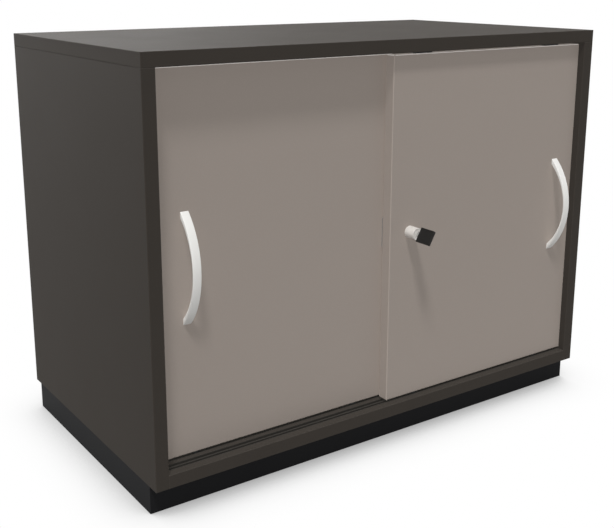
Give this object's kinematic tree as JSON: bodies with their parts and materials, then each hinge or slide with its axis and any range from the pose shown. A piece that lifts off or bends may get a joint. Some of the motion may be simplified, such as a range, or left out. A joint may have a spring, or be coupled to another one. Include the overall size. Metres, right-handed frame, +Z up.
{
  "type": "sliding door cabinet",
  "caption": "Low office cupboard on a plinth, closed by overlapping sliding doors with bow handles and a push lock with its key.",
  "frame": {"origin": "on the floor, in the middle of the carcass's footprint, on the middle plinth rail's underside", "axes": "+X to the right as the front is seen, +Y to the back, +Z up"},
  "size_m": [0.8, 0.479, 0.605],
  "materials": {
    "carcass_laminate": "dark taupe melamine, matt",
    "carcass_edging": "dark taupe edging, matt",
    "door_laminate": "taupe melamine, matt",
    "door_edging": "taupe edging, matt",
    "plinth_laminate": "black melamine, matt",
    "beech": "plain beech",
    "track_plastic": "dark grey, matt",
    "guide_plastic": "black, matt",
    "roller_plastic": "dark grey, matt",
    "handle_metal": "satin, anodised",
    "steel": "zinc plated",
    "lock_metal": "satin nickel",
    "key_plastic": "black, satin"
  },
  "bodies": {
    "cabinet": {"top_board": "carcass_laminate", "top_board_edging": "carcass_edging", "bottom_board": "carcass_laminate", "bottom_board_edging": "carcass_edging", "left_side_panel": "carcass_laminate", "left_side_edging": "carcass_edging", "right_side_panel": "carcass_laminate", "right_side_edging": "carcass_edging", "back_panel": "carcass_laminate", "shelf": "carcass_laminate", "shelf_edging": "carcass_edging", "shelf_pins": "steel", "cam_housings": "steel", "cam_bolts": "steel", "cam_cover_caps": "carcass_edging", "carcass_dowels": "beech", "lower_front_track": "track_plastic", "lower_rear_track": "track_plastic", "upper_front_track": "track_plastic", "upper_rear_track": "track_plastic", "upper_track_stops": "guide_plastic", "plinth_front": "plinth_laminate", "plinth_back": "plinth_laminate", "plinth_left": "plinth_laminate", "plinth_right": "plinth_laminate", "plinth_middle_rail": "plinth_laminate", "plinth_dowels": "beech", "plinth_brackets": "steel", "plinth_screws": "steel"},
    "left_door": {"left_door_panel": "door_laminate", "left_door_edging": "door_edging", "left_handle": "handle_metal", "left_handle_screws": "steel", "left_door_roller_housings": "guide_plastic", "left_door_roller_axles": "steel", "left_door_top_guides": "guide_plastic", "lock_striker_plate": "steel", "striker_screws": "steel"},
    "right_door": {"right_door_panel": "door_laminate", "right_door_edging": "door_edging", "right_handle": "handle_metal", "right_handle_screws": "steel", "right_door_roller_housings": "guide_plastic", "right_door_roller_axles": "steel", "right_door_top_guides": "guide_plastic", "lock_housing": "lock_metal", "lock_housing_screws": "steel"},
    "left_door_left_roller": {"left_door_left_roller": "roller_plastic"},
    "left_door_right_roller": {"left_door_right_roller": "roller_plastic"},
    "right_door_left_roller": {"right_door_left_roller": "roller_plastic"},
    "right_door_right_roller": {"right_door_right_roller": "roller_plastic"},
    "lock_plunger": {"lock_barrel": "lock_metal", "lock_bolt": "lock_metal", "lock_spring": "steel"},
    "lock_core": {"lock_core": "lock_metal"},
    "key": {"key_blade": "lock_metal", "key_bow": "key_plastic"}
  },
  "joints": [
    {"name": "left_door_slide", "type": "slide", "parent": "cabinet", "child": "left_door", "axis": [1, 0, 0], "range_m": [0, 0.3155]},
    {"name": "right_door_slide", "type": "slide", "parent": "cabinet", "child": "right_door", "axis": [1, 0, 0], "range_m": [-0.3155, 0]},
    {"name": "lock_push", "type": "slide", "parent": "right_door", "child": "lock_plunger", "axis": [0, 1, 0], "range_m": [0, 0.008], "stiffness_N_per_m": 500, "springref_m": -0.01, "deforming": ["lock_spring"]},
    {"name": "key_turn", "type": "hinge", "parent": "lock_plunger", "child": "lock_core", "pos_m": [0.029, -0.228, 0.323], "axis": [0, 1, 0], "range_deg": [-29, 61]},
    {"name": "key_pull", "type": "slide", "parent": "lock_core", "child": "key", "axis": [0, -1, 0], "range_m": [0, 0.026]},
    {"name": "left_door_left_roller_spin", "type": "hinge", "parent": "left_door", "child": "left_door_left_roller", "pos_m": [-0.3205, -0.179, 0.0659], "axis": [0, 1, 0], "continuous": true},
    {"name": "left_door_right_roller_spin", "type": "hinge", "parent": "left_door", "child": "left_door_right_roller", "pos_m": [-0.052, -0.179, 0.0659], "axis": [0, 1, 0], "continuous": true},
    {"name": "right_door_left_roller_spin", "type": "hinge", "parent": "right_door", "child": "right_door_left_roller", "pos_m": [0.052, -0.2005, 0.0659], "axis": [0, 1, 0], "continuous": true},
    {"name": "right_door_right_roller_spin", "type": "hinge", "parent": "right_door", "child": "right_door_right_roller", "pos_m": [0.3205, -0.2005, 0.0659], "axis": [0, 1, 0], "continuous": true}
  ],
  "couplings": [
    {"joint": "left_door_left_roller_spin", "follows": "left_door_slide", "rad_per_m": 136.99},
    {"joint": "left_door_right_roller_spin", "follows": "left_door_slide", "rad_per_m": 136.99},
    {"joint": "right_door_left_roller_spin", "follows": "right_door_slide", "rad_per_m": 136.99},
    {"joint": "right_door_right_roller_spin", "follows": "right_door_slide", "rad_per_m": 136.99}
  ]
}
